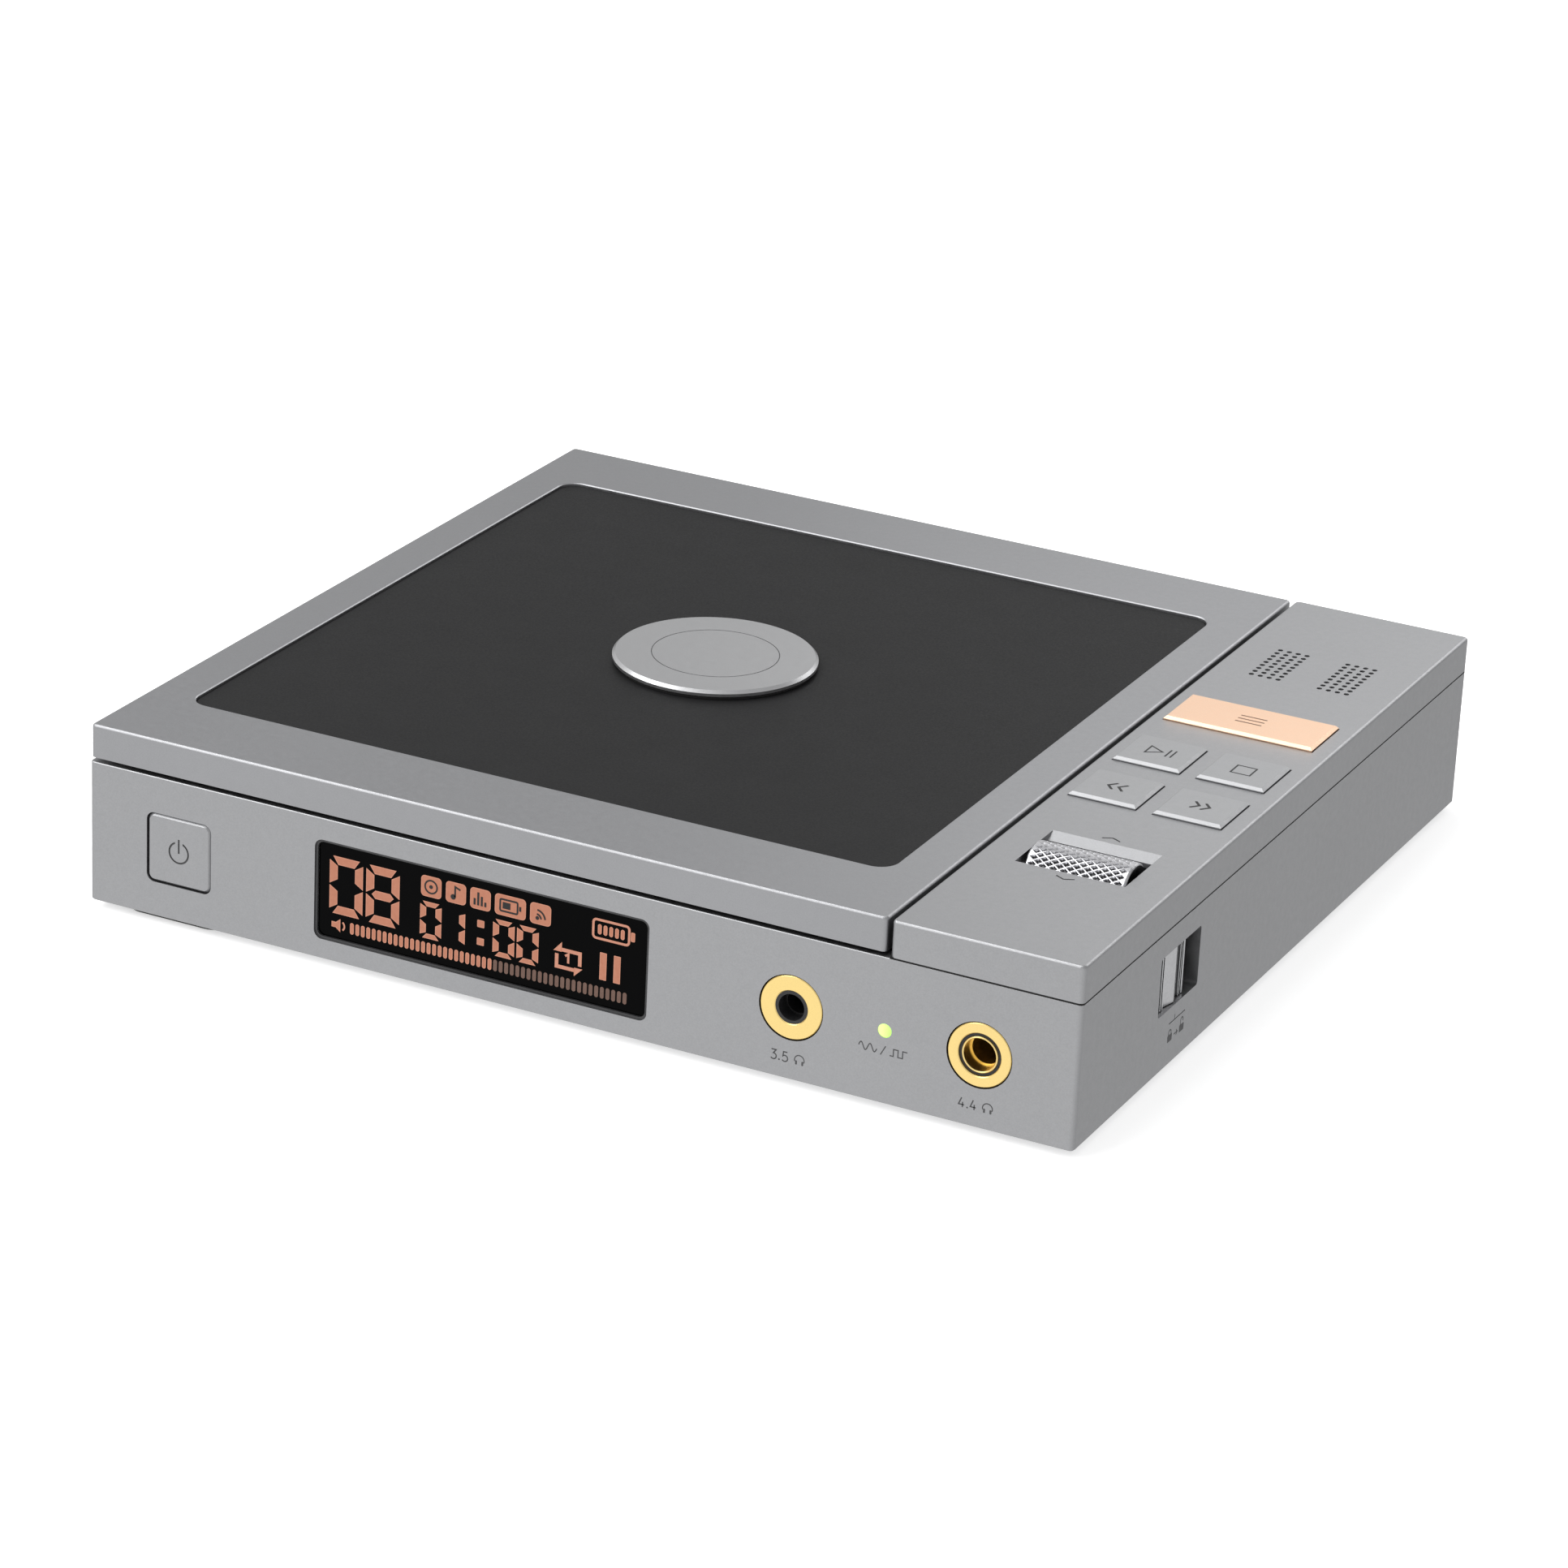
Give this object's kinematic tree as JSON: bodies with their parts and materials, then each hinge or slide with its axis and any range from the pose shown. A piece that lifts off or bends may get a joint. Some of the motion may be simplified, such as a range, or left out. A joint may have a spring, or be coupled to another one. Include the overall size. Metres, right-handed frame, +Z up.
{
  "type": "portable disc player",
  "caption": "Flat portable disc player: hinged lid with a dark window over a disc well, a side block of keys with a knurled wheel, front display and headphone sockets.",
  "frame": {"origin": "centre of the footprint, on the surface the feet stand on", "axes": "+X to the right seen from the front, +Y towards the rear hinge, +Z up; the display faces -Y"},
  "size_m": [0.158, 0.146, 0.03],
  "materials": {
    "aluminium_case": "bead-blasted satin, anodised silver-grey",
    "emblem_metal": "satin face with a polished bevel",
    "wheel_metal": "diamond-knurled, bright",
    "copper_key": "satin, anodised copper",
    "gold_trim": "satin gold plate",
    "steel": "plain machined",
    "magnet": "nickel plate",
    "smoked_window": "smooth, near-opaque smoked panel",
    "black_glass": "polished black",
    "black_plastic": "fine moulded texture",
    "dark_trim": "fine moulded texture",
    "white_plastic": "moulded",
    "board": "solder resist",
    "chip": "moulded epoxy",
    "battery_wrap": "shrink wrap",
    "rubber": "matt",
    "lens": "coated glass",
    "indicator": "translucent, lit green"
  },
  "bodies": {
    "base": {"base_shell": "aluminium_case", "bottom_plate": "aluminium_case", "case_screws": "steel", "rubber_feet": "rubber", "control_cover": "aluminium_case", "vent_mesh": "black_plastic", "button_board": "board", "tact_switches": "steel", "wheel_bracket": "black_plastic", "wheel_encoder": "black_plastic", "power_board": "board", "display_bezel": "dark_trim", "display_glass": "black_glass", "display_panel": "white_plastic", "jack_35_ring": "gold_trim", "jack_35_body": "black_plastic", "jack_44_ring": "gold_trim", "jack_44_body": "black_plastic", "jack_44_sleeve": "gold_trim", "indicator_lens": "indicator", "hold_switch_body": "steel", "main_board": "board", "board_chips": "chip", "battery_pack": "battery_wrap", "usb_port": "steel", "disc_deck": "black_plastic", "deck_magnets": "magnet", "small_screws": "steel", "hinge_brackets": "aluminium_case", "mechanism_chassis": "steel", "chassis_dampers": "rubber", "damper_screws": "steel", "guide_rods": "steel", "spindle_motor": "steel", "sled_motor": "steel"},
    "lid": {"lid_frame": "aluminium_case", "lid_window": "smoked_window", "lid_liner": "black_plastic", "lid_emblem": "emblem_metal", "emblem_gasket": "rubber", "lid_magnets": "magnet", "hinge_pins": "steel"},
    "power_key": {"power_button": "aluminium_case"},
    "menu_key": {"menu_button": "copper_key"},
    "play_key": {"play_button": "aluminium_case"},
    "stop_key": {"stop_button": "aluminium_case"},
    "previous_key": {"previous_button": "aluminium_case"},
    "next_key": {"next_button": "aluminium_case"},
    "wheel": {"volume_wheel": "wheel_metal", "wheel_axle": "steel"},
    "hold": {"hold_knob": "aluminium_case"},
    "spindle": {"turntable": "white_plastic", "turntable_mat": "rubber", "spindle_shaft": "steel"},
    "sled": {"pickup_sled": "dark_trim", "laser_unit": "steel"},
    "lens": {"lens_holder": "black_plastic", "objective_lens": "lens"},
    "screw": {"lead_screw": "steel"}
  },
  "joints": [
    {"name": "lid_hinge", "type": "hinge", "parent": "base", "child": "lid", "pos_m": [0, 0.0712, 0.0252], "axis": [-1, 0, 0], "range_deg": [0, 75]},
    {"name": "power_press", "type": "slide", "parent": "base", "child": "power_key", "axis": [0, 1, 0], "range_m": [0, 0.0005], "stiffness_N_per_m": 600, "springref_m": -0.0003},
    {"name": "menu_press", "type": "slide", "parent": "base", "child": "menu_key", "axis": [0, 0, -1], "range_m": [0, 0.0005], "stiffness_N_per_m": 600, "springref_m": -0.0003},
    {"name": "play_press", "type": "slide", "parent": "base", "child": "play_key", "axis": [0, 0, -1], "range_m": [0, 0.0005], "stiffness_N_per_m": 600, "springref_m": -0.0003},
    {"name": "stop_press", "type": "slide", "parent": "base", "child": "stop_key", "axis": [0, 0, -1], "range_m": [0, 0.0005], "stiffness_N_per_m": 600, "springref_m": -0.0003},
    {"name": "previous_press", "type": "slide", "parent": "base", "child": "previous_key", "axis": [0, 0, -1], "range_m": [0, 0.0005], "stiffness_N_per_m": 600, "springref_m": -0.0003},
    {"name": "next_press", "type": "slide", "parent": "base", "child": "next_key", "axis": [0, 0, -1], "range_m": [0, 0.0005], "stiffness_N_per_m": 600, "springref_m": -0.0003},
    {"name": "volume_spin", "type": "hinge", "parent": "base", "child": "wheel", "pos_m": [0.0642, -0.04005, 0.02575], "axis": [1, 0, 0], "continuous": true},
    {"name": "hold_slide", "type": "slide", "parent": "base", "child": "hold", "axis": [0, 1, 0], "range_m": [0, 0.0035]},
    {"name": "disc_spin", "type": "hinge", "parent": "base", "child": "spindle", "pos_m": [-0.0148, 0, 0.0205], "axis": [0, 0, 1], "continuous": true},
    {"name": "sled_slide", "type": "slide", "parent": "base", "child": "sled", "axis": [0, 1, 0], "range_m": [0, 0.034]},
    {"name": "lens_focus", "type": "slide", "parent": "sled", "child": "lens", "axis": [0, 0, 1], "range_m": [-0.0004, 0.0004], "stiffness_N_per_m": 40},
    {"name": "screw_spin", "type": "hinge", "parent": "base", "child": "screw", "pos_m": [-0.0343, 0.04, 0.0136], "axis": [0, 1, 0], "range_deg": [0, 4100]}
  ],
  "couplings": [
    {"joint": "screw_spin", "follows": "sled_slide", "rad_per_m": 2094.4}
  ]
}
